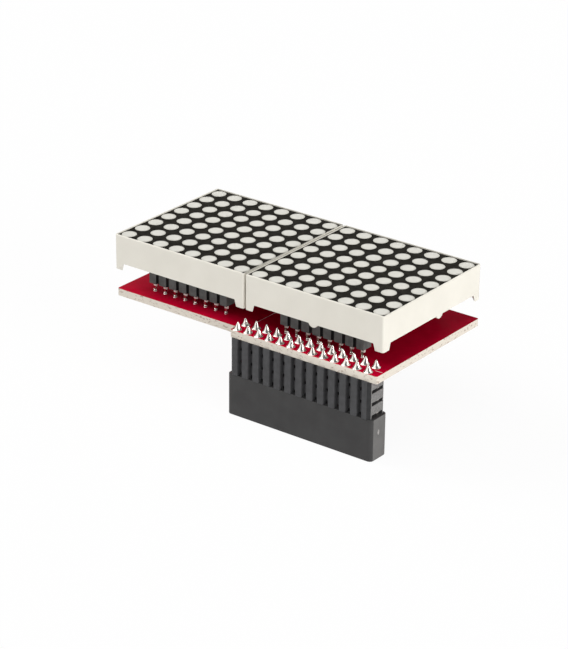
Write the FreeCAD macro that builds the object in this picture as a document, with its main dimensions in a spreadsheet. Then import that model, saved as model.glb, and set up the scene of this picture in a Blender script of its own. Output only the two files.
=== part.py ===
import FreeCAD, Part
import math
import os
import Sketcher

# A plug-in display board: two square dot matrix displays stand side by side in
# socket strips on a circuit board, and a long pin header with three spacers and
# a socket block under the board's front edge plugs it onto a host board.
# Frame: the origin is the middle of the socket block's bottom face, +Z is up,
# +X runs along the row of displays and +Y runs back, away from the header tab.
# All sizes are in millimetres.

DIMENSIONS = [
    # Display modules
    ("display_size", 32.0, "side of one square display"),
    ("display_gap", 0.28, "gap between the two displays"),
    ("display_depth", 5.35, "display from its back to its black face"),
    ("display_front", 0.42, "display front wall, ahead of the header's middle line"),
    ("housing_wall", 1.0, "side wall of the display housing"),
    ("housing_corner", 0.5, "radius of the housing's upright corners"),
    ("skirt_depth", 0.3, "side walls, below the display's back"),
    ("rim_width", 0.25, "thin rim round the black face"),
    ("rim_height", 0.2, "rim above the black face"),
    ("rim_chamfer", 0.12, "bevel on the rim's outer edge"),
    ("foot_depth", 1.4, "corner foot, below the skirt"),
    ("foot_root", 2.25, "sides of a three-cornered foot where it leaves the skirt"),
    ("foot_tip", 1.85, "sides of the foot at its tip"),
    ("nub_width", 2.0, "half round nub under the skirt, along the wall"),
    ("nub_drop", 0.7, "half round nub, below the skirt"),
    ("nub_offset", 2.2, "nub on the side wall, from the wall's middle"),
    ("face_thickness", 0.2, "black face layer"),
    ("face_clearance", 0.03, "gap between the black face layer and the rim"),
    ("dot_count", 8, "dots along each side of a display"),
    ("dot_diameter", 3.0, "diameter of a dot"),
    ("dot_height", 0.06, "dot lens above the black face"),
    ("dot_sides", 10, "sides that make up a dot's outline"),
    ("led_board_thickness", 1.0, "small board inside the display"),
    ("resin_thickness", 1.15, "potting resin at the display's back"),
    # Display pins and their socket strips
    ("pin_pitch", 2.54, "spacing of every pin row"),
    ("pin_count", 8, "pins in one row of a display"),
    ("pin_row_inset", 4.0, "middle of a pin row, inside the display's side wall"),
    ("pin_size", 0.5, "side of a display pin"),
    ("pin_reach", 3.2, "display pin, below the display's back"),
    ("strip_height", 4.0, "body of a socket strip"),
    ("strip_width", 2.5, "socket strip, front to back"),
    ("strip_lift", 1.8, "gap between the circuit board and a strip"),
    ("strip_trim", 0.5, "socket strip short of its last pin cell"),
    ("strip_notch_width", 0.75, "groove between two cells of a strip"),
    ("strip_notch_floor", 0.5, "width of that groove at its floor"),
    ("strip_notch_depth", 0.45, "depth of that groove"),
    ("strip_bore", 1.1, "square pin opening in a strip"),
    ("contact_thickness", 0.3, "sheet metal of a strip contact"),
    ("blade_width", 0.78, "width of a contact's blade"),
    ("leg_width", 0.5, "width of a contact's board leg"),
    ("contact_rise", 3.2, "contact blade, up into the strip"),
    ("shoulder_height", 0.5, "contact blade, below the strip"),
    ("leg_reach", 0.9, "contact leg, below the circuit board"),
    # Circuit board
    ("board_thickness", 1.5, "circuit board"),
    ("board_corner", 0.4, "radius of the board's corners"),
    ("board_trim", 0.45, "left end of the board, short of the left display's side"),
    ("board_end", 1.13, "right end of the board, beyond the last header pin cell"),
    ("tab_depth", 1.8, "header tab, ahead of the displays' front wall"),
    ("hole_clearance", 0.08, "gap round a pin in its board hole"),
    # Header under the board
    ("header_columns", 13, "pins along the header"),
    ("header_rows", 2, "pin rows of the header"),
    ("header_pin_size", 0.64, "side of a header pin"),
    ("pin_fit", 0.03, "gap round a header pin in the plastic"),
    ("blade_thickness", 0.18, "spring blade on a header pin's lower end"),
    ("blade_bottom", 1.8, "lower end of the blade, above the block's bottom"),
    ("blade_length", 4.6, "spring blade below the pin's solid part"),
    ("blade_lap", 1.6, "spring blade beside the pin's solid part"),
    ("socket_height", 8.5, "socket block"),
    ("socket_width", 5.0, "socket block, front to back"),
    ("socket_margin", 0.46, "socket block beyond its last pin cell"),
    ("socket_corner", 0.9, "radius of the block's upright corners"),
    ("spacer_count", 3, "spacers between the board and the block"),
    ("spacer_height", 2.54, "one spacer"),
    ("spacer_width", 5.08, "spacer, front to back"),
    ("spacer_trim", 0.2, "spacer short of its last pin cell"),
    ("spacer_corner", 0.6, "bevel on the spacer's upright corners"),
    ("spacer_notch_width", 1.2, "groove between two cells of a spacer"),
    ("spacer_notch_floor", 0.9, "width of that groove at its floor"),
    ("spacer_notch_depth", 0.9, "depth of that groove, through into the channel"),
    ("channel_height", 0.7, "channel under the spacer's pin cells"),
    ("rail_width", 0.84, "rail on each side of the channel"),
    ("solder_radius", 0.87, "foot of a solder cone"),
    ("solder_tip", 0.25, "radius of a solder cone's top"),
    ("solder_height", 1.65, "solder cone over a pin end"),
    ("solder_sides", 6, "sides that make up a solder cone"),
    # Driver circuit on the board's underside
    ("chip_end", 0.08, "driver chip's body, beyond its last lead cell"),
    ("chip_width", 7.5, "driver chip, front to back"),
    ("chip_height", 2.3, "driver chip's body"),
    ("chip_lift", 0.15, "gap between the board and the chip's body"),
    ("chip_side_leads", 12, "leads on each long side of the chip"),
    ("lead_pitch", 1.27, "spacing of the chip's leads"),
    ("lead_width", 0.42, "width of a lead"),
    ("lead_thickness", 0.25, "thickness of a lead"),
    ("lead_reach", 1.2, "lead, out from the chip's body"),
    ("lead_rise", 1.25, "height at which a lead leaves the body"),
    ("small_part_length", 2.0, "chip resistor or capacitor, along its terminals"),
    ("small_part_width", 1.25, "chip resistor or capacitor, across"),
    ("capacitor_height", 0.9, "chip capacitor"),
    ("resistor_height", 0.5, "chip resistor"),
    ("small_part_gap", 3.0, "chip's leads to the middle of the small parts"),
    ("resistor_spacing", 3.0, "distance between the two resistors"),
]

doc = FreeCAD.newDocument("dot_matrix_board")
sheet = doc.addObject("Spreadsheet::Sheet", "Sheet")


def fill_sheet():
    """Put every driving dimension into the spreadsheet, under its alias."""
    for row, (alias, value, meaning) in enumerate(DIMENSIONS, start=1):
        sheet.set("A%d" % row, alias)
        sheet.set("B%d" % row, str(value))
        sheet.set("C%d" % row, meaning)
        sheet.setAlias("B%d" % row, alias)
    doc.recompute()


fill_sheet()


# Heights above the block's bottom face, as formulas of the sheet
BOARD_BOTTOM = "(Sheet.socket_height + Sheet.spacer_count * Sheet.spacer_height)"
BOARD_TOP = "(%s + Sheet.board_thickness)" % BOARD_BOTTOM
STRIP_BOTTOM = "(%s + Sheet.strip_lift)" % BOARD_TOP
DISPLAY_BACK = "(%s + Sheet.strip_height)" % STRIP_BOTTOM

# Places in plan, as formulas of the sheet
BOARD_HALF_LENGTH = "(Sheet.display_size + Sheet.display_gap / 2)"
HEADER_HALF_LENGTH = "(Sheet.header_columns * Sheet.pin_pitch / 2)"
BOARD_RIGHT_X = "(%s + Sheet.board_end)" % HEADER_HALF_LENGTH
BOARD_MIDDLE_X = "(%s - %s)" % (BOARD_RIGHT_X, BOARD_HALF_LENGTH)
DISPLAY_FRONT_Y = "(-Sheet.display_front)"
DISPLAY_MIDDLE_Y = "(-Sheet.display_front + Sheet.display_size / 2)"
DISPLAY_STEP_X = "(Sheet.display_size + Sheet.display_gap)"
PIN_ROWS_APART = "(Sheet.display_size - 2 * Sheet.pin_row_inset)"
SIDES = {"left": -1, "right": 1}
ROWS = {"front": -1, "rear": 1}


def number(formula):
    """Value of a formula of the sheet, in millimetres."""
    result = sheet.evalExpression(formula)
    return float(getattr(result, "Value", result))


def display_middle_x(side):
    return "(%s + %d * %s / 2)" % (BOARD_MIDDLE_X, SIDES[side], DISPLAY_STEP_X)


def pin_row_y(row):
    return "(%s + %d * %s / 2)" % (DISPLAY_MIDDLE_Y, ROWS[row], PIN_ROWS_APART)


# Modelling helpers

def new_body(label, x="0", y="0", z="0", turn=0):
    """A body whose local origin stands at x, y, z, turned about Z by turn degrees."""
    body = doc.addObject("PartDesign::Body", label)
    body.Label = label
    body.Placement = FreeCAD.Placement(
        FreeCAD.Vector(number(x), number(y), number(z)),
        FreeCAD.Rotation(FreeCAD.Vector(0, 0, 1), turn),
    )
    for axis, formula in (("x", x), ("y", y), ("z", z)):
        body.setExpression("Placement.Base.%s" % axis, formula)
    return body


def datum(body, role):
    """The body's own origin plane or axis, such as XY_Plane or X_Axis."""
    return next(item for item in body.Origin.OriginFeatures if item.Role == role)


def new_sketch(body, name, role, offset):
    sketch = body.newObject("Sketcher::SketchObject", name)
    sketch.AttachmentSupport = [(datum(body, role), "")]
    sketch.MapMode = "FlatFace"
    sketch.AttachmentOffset = FreeCAD.Placement(
        FreeCAD.Vector(0, 0, number(offset)), FreeCAD.Rotation()
    )
    sketch.setExpression("AttachmentOffset.Base.z", offset)
    return sketch


def bind(sketch, constraint, formula):
    index = sketch.addConstraint(constraint)
    sketch.setExpression("Constraints[%d]" % index, formula)


def outline(body, name, points, role="XY_Plane", offset="0"):
    """A closed outline of straight sides, each corner bound to its two formulas."""
    sketch = new_sketch(body, name, role, offset)
    corners = [FreeCAD.Vector(number(u), number(v), 0) for u, v in points]
    following = corners[1:] + corners[:1]
    for start, end in zip(corners, following):
        sketch.addGeometry(Part.LineSegment(start, end), False)
    for side in range(len(corners)):
        previous = side - 1 if side else len(corners) - 1
        sketch.addConstraint(Sketcher.Constraint("Coincident", previous, 2, side, 1))
    for side, (u, v) in enumerate(points):
        corner = corners[side]
        bind(sketch, Sketcher.Constraint("DistanceX", -1, 1, side, 1, corner.x), u)
        bind(sketch, Sketcher.Constraint("DistanceY", -1, 1, side, 1, corner.y), v)
    return sketch


def rectangle(body, name, low_u, high_u, low_v, high_v, role="XY_Plane", offset="0"):
    points = [(low_u, low_v), (high_u, low_v), (high_u, high_v), (low_u, high_v)]
    return outline(body, name, points, role, offset)


def centred(body, name, size_u, size_v, role="XY_Plane", offset="0", u="0", v="0"):
    """A rectangle of the given size round the point u, v."""
    return rectangle(
        body, name,
        "%s - (%s) / 2" % (u, size_u), "%s + (%s) / 2" % (u, size_u),
        "%s - (%s) / 2" % (v, size_v), "%s + (%s) / 2" % (v, size_v),
        role, offset,
    )


def polygon(body, name, radius, sides, offset="0", u="0", v="0"):
    """A regular polygon whose sides straddle the circle of the given radius."""
    straddle = 2 / (1 + math.cos(math.pi / sides))
    points = []
    for corner in range(sides):
        angle = 2 * math.pi * (corner + 0.5) / sides
        across = "%s + %s * %.9f" % (u, radius, straddle * math.cos(angle))
        along = "%s + %s * %.9f" % (v, radius, straddle * math.sin(angle))
        points.append((across, along))
    return outline(body, name, points, offset=offset)


def circle(body, name, radius, role, offset, u, v):
    sketch = new_sketch(body, name, role, offset)
    centre = FreeCAD.Vector(number(u), number(v), 0)
    sketch.addGeometry(Part.Circle(centre, FreeCAD.Vector(0, 0, 1), number(radius)), False)
    bind(sketch, Sketcher.Constraint("DistanceX", -1, 1, 0, 3, centre.x), u)
    bind(sketch, Sketcher.Constraint("DistanceY", -1, 1, 0, 3, centre.y), v)
    bind(sketch, Sketcher.Constraint("Radius", 0, number(radius)), radius)
    return sketch


def pad(body, sketch, length, reverse=False, both_ways=False):
    """Add material from the sketch, along its normal unless reversed."""
    feature = body.newObject("PartDesign::Pad", sketch.Name + "_pad")
    feature.Profile = sketch
    feature.Length = number(length)
    feature.setExpression("Length", length)
    feature.Reversed = reverse
    feature.Midplane = both_ways
    body.Tip = feature
    doc.recompute()
    return feature


def pocket(body, sketch, length, upward=False, both_ways=False):
    """Cut below the sketch, above it or both, and make sure that something is cut."""
    before = body.Tip.Shape.Volume
    feature = body.newObject("PartDesign::Pocket", sketch.Name + "_cut")
    feature.Profile = sketch
    feature.Length = number(length)
    feature.setExpression("Length", length)
    feature.Reversed = upward
    feature.Midplane = both_ways
    body.Tip = feature
    doc.recompute()
    if not feature.Shape.Volume < before:
        raise RuntimeError("%s cuts nothing" % feature.Name)
    return feature


def grid(body, feature, steps, whole=False, both_sides=False):
    """Repeat a feature, or the whole body, by steps of (axis role, spacing, count).

    With both_sides the rows are mirrored from the front to the back as well.
    """
    pattern = body.newObject("PartDesign::MultiTransform", feature.Name + "_grid")
    if whole:
        pattern.TransformMode = "Whole shape"
    else:
        pattern.Originals = [feature]
    rows = []
    for axis, spacing, count in steps:
        row = body.newObject("PartDesign::LinearPattern", feature.Name + "_row")
        row.Direction = (datum(body, axis), [""])
        row.setExpression("Length", "%s * (%s - 1)" % (spacing, count))
        row.setExpression("Occurrences", count)
        rows.append(row)
    if both_sides:
        mirror = body.newObject("PartDesign::Mirrored", feature.Name + "_mirror")
        mirror.MirrorPlane = (datum(body, "XZ_Plane"), [""])
        rows.append(mirror)
    pattern.Transformations = rows
    body.Tip = pattern
    doc.recompute()
    return pattern


def edges_where(shape, test):
    """Names of the shape's edges whose two ends both pass the test."""
    names = []
    for index, edge in enumerate(shape.Edges, start=1):
        if len(edge.Vertexes) == 2 and all(test(end.Point) for end in edge.Vertexes):
            names.append("Edge%d" % index)
    return names


def faces_where(shape, test):
    """Names of the shape's faces whose middle passes the test."""
    faces = enumerate(shape.Faces, start=1)
    return ["Face%d" % index for index, face in faces if test(face.CenterOfMass)]


def upright_edges(shape, test):
    """Edges along Z whose place in plan passes the test."""
    names = []
    for index, edge in enumerate(shape.Edges, start=1):
        box = edge.BoundBox
        if box.ZLength > 1e-6 and box.XLength < 1e-6 and box.YLength < 1e-6:
            if test(edge.Vertexes[0].Point):
                names.append("Edge%d" % index)
    return names


def round_off(body, names, radius):
    base = body.Tip
    feature = body.newObject("PartDesign::Fillet", body.Name + "_fillet")
    feature.Base = (base, names)
    feature.Radius = number(radius)
    feature.setExpression("Radius", radius)
    body.Tip = feature
    doc.recompute()


def bevel(body, names, size):
    base = body.Tip
    feature = body.newObject("PartDesign::Chamfer", body.Name + "_chamfer")
    feature.Base = (base, names)
    feature.Size = number(size)
    feature.setExpression("Size", size)
    body.Tip = feature
    doc.recompute()


def near(value, target):
    return abs(value - target) < 1e-4


# Display modules. Local frame: the middle of the display, z = 0 at its back face

def display_body(side, name):
    """A body in a display's frame. The left display is turned back to front."""
    turn = 180 if side == "left" else 0
    return new_body("%s_%s" % (side, name), display_middle_x(side), DISPLAY_MIDDLE_Y, DISPLAY_BACK, turn)


CAVITY_HEIGHT = "(Sheet.resin_thickness + Sheet.led_board_thickness)"
CAVITY_SIZE = "(Sheet.display_size - 2 * Sheet.housing_wall)"
RIM_TOP = "(Sheet.display_depth + Sheet.rim_height)"
FACE_SEAT = "(Sheet.display_depth - Sheet.face_thickness)"
RECESS_SIZE = "(Sheet.display_size - 2 * Sheet.rim_width)"
NUB_RADIUS = "((Sheet.nub_width^2 / 4 + Sheet.nub_drop^2) / (2 * Sheet.nub_drop))"


def four_ways(body, feature, name):
    """Repeat a feature on all four sides of a display."""
    turned = body.newObject("PartDesign::PolarPattern", name)
    turned.Originals = [feature]
    turned.Axis = (datum(body, "Z_Axis"), [""])
    turned.Angle = 360
    turned.Occurrences = 4
    body.Tip = turned
    doc.recompute()


def housing_feet(body):
    """Four three-cornered feet under the skirt, whose inner faces slope."""
    half = "Sheet.display_size / 2"
    inner = "%s - Sheet.foot_root" % half
    skirt = "-Sheet.skirt_depth"
    tip = "%s - Sheet.foot_depth" % skirt
    foot = outline(body, "foot", [(inner, half), (half, inner), (half, half)], offset=skirt)
    four_ways(body, pad(body, foot, "Sheet.foot_depth", reverse=True), "feet")
    # Distances along the display's diagonal, from its middle to a foot's inner face
    root_reach = "(Sheet.display_size - Sheet.foot_root) / sqrt(2)"
    tip_reach = "(Sheet.display_size - Sheet.foot_tip) / sqrt(2)"
    slope = outline(
        body, "foot_slope",
        [(root_reach, skirt), (root_reach, tip), (tip_reach, tip)], "XZ_Plane",
    )
    slope.AttachmentOffset = FreeCAD.Placement(
        FreeCAD.Vector(), FreeCAD.Rotation(FreeCAD.Vector(0, 1, 0), 45)
    )
    cut = pocket(body, slope, "2 * Sheet.foot_root", both_ways=True)
    four_ways(body, cut, "foot_slopes")


def housing_nubs(body):
    """Half round nubs under the skirt: one on the front wall, one on the side."""
    height = "%s - Sheet.skirt_depth - Sheet.nub_drop" % NUB_RADIUS
    wall = "Sheet.display_size / 2"
    front = circle(body, "front_nub", NUB_RADIUS, "XZ_Plane", wall, "0", height)
    pad(body, front, "Sheet.housing_wall", reverse=True)
    side = circle(body, "side_nub", NUB_RADIUS, "YZ_Plane", wall, "Sheet.nub_offset", height)
    pad(body, side, "Sheet.housing_wall", reverse=True)


def display_housing(side):
    """Moulded housing: side walls, face recess, back cavity, feet and nubs."""
    body = display_body(side, "display_housing")
    size = "Sheet.display_size"
    block = centred(body, "walls", size, size, offset="-Sheet.skirt_depth")
    pad(body, block, "Sheet.skirt_depth + %s" % RIM_TOP)
    recess = centred(body, "recess", RECESS_SIZE, RECESS_SIZE, offset=RIM_TOP)
    pocket(body, recess, "Sheet.rim_height + Sheet.face_thickness")
    cavity = centred(body, "cavity", CAVITY_SIZE, CAVITY_SIZE, offset="-Sheet.skirt_depth")
    pocket(body, cavity, "Sheet.skirt_depth + %s" % CAVITY_HEIGHT, upward=True)
    housing_feet(body)
    housing_nubs(body)
    half = number("Sheet.display_size / 2")
    corners = upright_edges(body.Tip.Shape, lambda p: near(abs(p.x), half) and near(abs(p.y), half))
    round_off(body, corners, "Sheet.housing_corner")
    top = number(RIM_TOP)
    inner = number("Sheet.display_size / 2 - Sheet.rim_width")
    rim = edges_where(body.Tip.Shape, lambda p: near(p.z, top) and max(abs(p.x), abs(p.y)) > inner + 1e-4)
    bevel(body, rim, "Sheet.rim_chamfer")


def display_face(side):
    """Black layer in the recess of the housing."""
    body = display_body(side, "display_face")
    size = "%s - 2 * Sheet.face_clearance" % RECESS_SIZE
    pad(body, centred(body, "face", size, size, offset=FACE_SEAT), "Sheet.face_thickness")


def display_dots(side):
    """The grid of dot lenses on the black face."""
    body = display_body(side, "display_dots")
    pitch = "(Sheet.display_size / Sheet.dot_count)"
    corner = "-(Sheet.dot_count - 1) * %s / 2" % pitch
    lens = polygon(
        body, "lens", "Sheet.dot_diameter / 2", int(number("Sheet.dot_sides")),
        "Sheet.display_depth", corner, corner,
    )
    first = pad(body, lens, "Sheet.dot_height")
    step = (pitch, "Sheet.dot_count")
    grid(body, first, [("X_Axis",) + step, ("Y_Axis",) + step])


def display_back(side):
    """Small board with the light sources, and the resin that seals it in."""
    led_board = display_body(side, "led_board")
    seat = centred(led_board, "led_plate", CAVITY_SIZE, CAVITY_SIZE, offset="Sheet.resin_thickness")
    pad(led_board, seat, "Sheet.led_board_thickness")
    resin = display_body(side, "display_resin")
    pad(resin, centred(resin, "resin_fill", CAVITY_SIZE, CAVITY_SIZE), "Sheet.resin_thickness")


# Display pins and socket strips. Local frame: the middle of a pin row

FIRST_PIN_X = "-(Sheet.pin_count - 1) * Sheet.pin_pitch / 2"
PIN_STEP = ("X_Axis", "Sheet.pin_pitch", "Sheet.pin_count")


def row_body(side, row, name, height):
    label = "%s_%s_%s" % (side, row, name)
    return new_body(label, display_middle_x(side), pin_row_y(row), height)


def display_pins(side, row):
    """One row of display pins, standing down from the display's back."""
    body = row_body(side, row, "display_pins", DISPLAY_BACK)
    pin = centred(body, "pin", "Sheet.pin_size", "Sheet.pin_size", u=FIRST_PIN_X)
    first = pad(body, pin, "Sheet.pin_reach", reverse=True)
    grid(body, first, [PIN_STEP])


def groove_outline(x, wall, part):
    """A tapered groove into the wall that faces the front, sized for that part."""
    mouth, floor = ("Sheet.%s_notch_%s / 2" % (part, end) for end in ("width", "floor"))
    depth = "-(%s) + Sheet.%s_notch_depth" % (wall, part)
    return [
        ("%s - %s" % (x, mouth), "-(%s)" % wall), ("%s + %s" % (x, mouth), "-(%s)" % wall),
        ("%s + %s" % (x, floor), depth), ("%s - %s" % (x, floor), depth),
    ]


def cut_grooves(body, part, wall, height, count):
    """Grooves between the cells of a strip or spacer, on both long sides."""
    first_x = "-(%s - 2) * Sheet.pin_pitch / 2" % count
    points = groove_outline(first_x, wall, part)
    sketch = outline(body, "groove", points, offset=height)
    step = ("X_Axis", "Sheet.pin_pitch", "(%s - 1)" % count)
    grid(body, pocket(body, sketch, height), [step], both_sides=True)


def socket_strip(side, row):
    """Plastic body of a socket strip, with a square opening for each pin."""
    body = row_body(side, row, "socket_strip", STRIP_BOTTOM)
    length = "Sheet.pin_count * Sheet.pin_pitch - 2 * Sheet.strip_trim"
    pad(body, centred(body, "strip", length, "Sheet.strip_width"), "Sheet.strip_height")
    cut_grooves(body, "strip", "Sheet.strip_width / 2", "Sheet.strip_height", "Sheet.pin_count")
    opening = centred(
        body, "strip_opening", "Sheet.strip_bore", "Sheet.strip_bore",
        offset="Sheet.strip_height", u=FIRST_PIN_X,
    )
    grid(body, pocket(body, opening, "Sheet.strip_height"), [PIN_STEP])


def strip_contacts(side, row):
    """Sheet metal contacts: a wide blade beside each pin and a narrow board leg."""
    body = row_body(side, row, "strip_contacts", STRIP_BOTTOM)
    foot = "-(Sheet.strip_lift + Sheet.board_thickness + Sheet.leg_reach)"
    leg = "Sheet.leg_width / 2"
    shoulder = "Sheet.blade_width - %s" % leg
    corners = [
        ("-(%s)" % leg, foot), (leg, foot), (leg, "-Sheet.shoulder_height"),
        (shoulder, "-Sheet.shoulder_height"), (shoulder, "Sheet.contact_rise"),
        ("-(%s)" % leg, "Sheet.contact_rise"),
    ]
    profile = [("%s + %s" % (FIRST_PIN_X, across), height) for across, height in corners]
    blade = outline(body, "contact", profile, "XZ_Plane", "Sheet.pin_size / 2")
    grid(body, pad(body, blade, "Sheet.contact_thickness"), [PIN_STEP])


# Circuit board. Local frame: in plan as the whole model, z = 0 at its bottom face

FIRST_COLUMN_X = "-(Sheet.header_columns - 1) * Sheet.pin_pitch / 2"
FIRST_ROW_Y = "-(Sheet.header_rows - 1) * Sheet.pin_pitch / 2"
HEADER_STEPS = [
    ("X_Axis", "Sheet.pin_pitch", "Sheet.header_columns"),
    ("Y_Axis", "Sheet.pin_pitch", "Sheet.header_rows"),
]


def board_outline():
    """Board under both displays, with a tab in front that carries the header."""
    left = "%s - %s + Sheet.board_trim" % (BOARD_MIDDLE_X, BOARD_HALF_LENGTH)
    back = "%s + Sheet.display_size" % DISPLAY_FRONT_Y
    tab_left = "-%s" % HEADER_HALF_LENGTH
    tab_front = "%s - Sheet.tab_depth" % DISPLAY_FRONT_Y
    return [
        (left, DISPLAY_FRONT_Y), (tab_left, DISPLAY_FRONT_Y), (tab_left, tab_front),
        (BOARD_RIGHT_X, tab_front), (BOARD_RIGHT_X, back), (left, back),
    ]


def circuit_board():
    body = new_body("circuit_board", z=BOARD_BOTTOM)
    points = board_outline()
    pad(body, outline(body, "board", points), "Sheet.board_thickness")
    inner = (number(points[1][0]), number(points[1][1]))
    corners = upright_edges(body.Tip.Shape, lambda p: not (near(p.x, inner[0]) and near(p.y, inner[1])))
    round_off(body, corners, "Sheet.board_corner")
    size = "Sheet.header_pin_size + 2 * Sheet.hole_clearance"
    hole = centred(
        body, "header_hole", size, size, offset="Sheet.board_thickness",
        u=FIRST_COLUMN_X, v=FIRST_ROW_Y,
    )
    grid(body, pocket(body, hole, "Sheet.board_thickness"), HEADER_STEPS)
    leg_y = "%s - (Sheet.pin_size + Sheet.contact_thickness) / 2" % pin_row_y("front")
    leg = centred(
        body, "leg_hole", "Sheet.leg_width + 2 * Sheet.hole_clearance",
        "Sheet.contact_thickness + 2 * Sheet.hole_clearance", offset="Sheet.board_thickness",
        u="%s + %s" % (display_middle_x("left"), FIRST_PIN_X), v=leg_y,
    )
    rows = ("Y_Axis", PIN_ROWS_APART, "2")
    displays = ("X_Axis", DISPLAY_STEP_X, "2")
    grid(body, pocket(body, leg, "Sheet.board_thickness"), [PIN_STEP, rows, displays])


# Header. Local frame: the middle of the header in plan

PIN_OPENING = "(Sheet.header_pin_size + 2 * Sheet.pin_fit)"


def header_pins():
    """Long square pins, each with a spring blade at its lower end in the block."""
    body = new_body("header_pins")
    half = "Sheet.header_pin_size / 2"
    blade = "%s + Sheet.blade_thickness" % half
    solid_end = "(Sheet.blade_bottom + Sheet.blade_length)"
    profile = [
        (half, solid_end), (half, BOARD_TOP), ("-(%s)" % half, BOARD_TOP),
        ("-(%s)" % half, "%s + Sheet.blade_lap" % solid_end),
        ("-(%s)" % blade, "%s + Sheet.blade_lap" % solid_end),
        ("-(%s)" % blade, "Sheet.blade_bottom"), ("-(%s)" % half, "Sheet.blade_bottom"),
        ("-(%s)" % half, solid_end),
    ]
    points = [("%s + %s" % (FIRST_ROW_Y, across), height) for across, height in profile]
    section = outline(body, "header_pin", points, "YZ_Plane", FIRST_COLUMN_X)
    grid(body, pad(body, section, "Sheet.header_pin_size", both_ways=True), HEADER_STEPS)


def header_spacer(index):
    """Spacer with grooved sides, a channel below and an opening for every pin."""
    body = new_body(
        "header_spacer_%d" % index,
        z="%s - %d * Sheet.spacer_height" % (BOARD_BOTTOM, index),
    )
    length = "2 * %s - 2 * Sheet.spacer_trim" % HEADER_HALF_LENGTH
    pad(body, centred(body, "spacer", length, "Sheet.spacer_width"), "Sheet.spacer_height")
    bevel(body, upright_edges(body.Tip.Shape, lambda p: True), "Sheet.spacer_corner")
    cut_grooves(
        body, "spacer", "Sheet.spacer_width / 2", "Sheet.spacer_height", "Sheet.header_columns"
    )
    channel = centred(body, "channel", length, "Sheet.spacer_width - 2 * Sheet.rail_width")
    pocket(body, channel, "Sheet.channel_height", upward=True)
    opening = centred(
        body, "spacer_opening", PIN_OPENING, PIN_OPENING, offset="Sheet.spacer_height",
        u=FIRST_COLUMN_X, v=FIRST_ROW_Y,
    )
    grid(body, pocket(body, opening, "Sheet.spacer_height"), HEADER_STEPS)


def header_socket():
    """Socket block: each opening takes a host pin from below and a long pin above."""
    body = new_body("header_socket")
    length = "2 * %s + 2 * Sheet.socket_margin" % HEADER_HALF_LENGTH
    pad(body, centred(body, "block", length, "Sheet.socket_width"), "Sheet.socket_height")
    round_off(body, upright_edges(body.Tip.Shape, lambda p: True), "Sheet.socket_corner")
    depth = "%s + Sheet.blade_thickness" % PIN_OPENING
    opening = centred(
        body, "block_opening", PIN_OPENING, depth, offset="Sheet.socket_height",
        u=FIRST_COLUMN_X, v="%s - Sheet.blade_thickness / 2" % FIRST_ROW_Y,
    )
    grid(body, pocket(body, opening, "Sheet.socket_height"), HEADER_STEPS)


def header_solder():
    """Cones of solder over the pin ends on the board's top."""
    body = new_body("header_solder", z=BOARD_TOP)
    sides = int(number("Sheet.solder_sides"))
    foot = polygon(body, "solder", "Sheet.solder_radius", sides, u=FIRST_COLUMN_X, v=FIRST_ROW_Y)
    prism = pad(body, foot, "Sheet.solder_height")
    middle = number("Sheet.solder_height / 2")
    walls = faces_where(prism.Shape, lambda p: near(p.z, middle))
    bottom = faces_where(prism.Shape, lambda p: near(p.z, 0))
    cone = body.newObject("PartDesign::Draft", "solder_cone")
    cone.Base = (prism, walls)
    cone.NeutralPlane = (prism, bottom)
    narrowing = "Sheet.solder_radius - Sheet.solder_tip"
    cone.setExpression("Angle", "atan((%s) / Sheet.solder_height)" % narrowing)
    body.Tip = cone
    doc.recompute()
    if not cone.Shape.Volume < prism.Shape.Volume:
        raise RuntimeError("the solder cones don't narrow")
    grid(body, cone, HEADER_STEPS, whole=True)


# Driver circuit. Local frame: the middle of the board's underside, parts hang down

def underside_body(label, x="0", y="0"):
    return new_body(
        label, "%s + %s" % (BOARD_MIDDLE_X, x), "%s + %s" % (DISPLAY_MIDDLE_Y, y), BOARD_BOTTOM
    )


def driver_chip():
    body = underside_body("driver_chip")
    length = "Sheet.chip_side_leads * Sheet.lead_pitch + 2 * Sheet.chip_end"
    plan = centred(body, "chip", length, "Sheet.chip_width", offset="-Sheet.chip_lift")
    pad(body, plan, "Sheet.chip_height", reverse=True)


def driver_leads():
    """Bent leads: out of the body's long sides and down to the board."""
    body = underside_body("driver_leads")
    wall = "-Sheet.chip_width / 2"
    end = "%s - Sheet.lead_reach" % wall
    profile = [
        (wall, "-Sheet.lead_rise"), (wall, "-Sheet.lead_rise + Sheet.lead_thickness"),
        ("%s + Sheet.lead_thickness" % end, "-Sheet.lead_rise + Sheet.lead_thickness"),
        ("%s + Sheet.lead_thickness" % end, "0"), (end, "0"), (end, "-Sheet.lead_rise"),
    ]
    first_x = "-(Sheet.chip_side_leads - 1) * Sheet.lead_pitch / 2"
    section = outline(body, "lead", profile, "YZ_Plane", first_x)
    lead = pad(body, section, "Sheet.lead_width", both_ways=True)
    grid(body, lead, [("X_Axis", "Sheet.lead_pitch", "Sheet.chip_side_leads")], both_sides=True)


def small_parts():
    """A capacitor and two resistors beside the driver chip."""
    beside = "(Sheet.chip_width / 2 + Sheet.lead_reach + Sheet.small_part_gap)"
    capacitor = underside_body("chip_capacitor", y=beside)
    size = ("Sheet.small_part_length", "Sheet.small_part_width")
    pad(capacitor, centred(capacitor, "capacitor", *size), "Sheet.capacitor_height", reverse=True)
    resistors = underside_body("chip_resistors", y="-" + beside)
    plan = centred(resistors, "resistor", *size, u="-Sheet.resistor_spacing / 2")
    first = pad(resistors, plan, "Sheet.resistor_height", reverse=True)
    grid(resistors, first, [("X_Axis", "Sheet.resistor_spacing", "2")])


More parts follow.
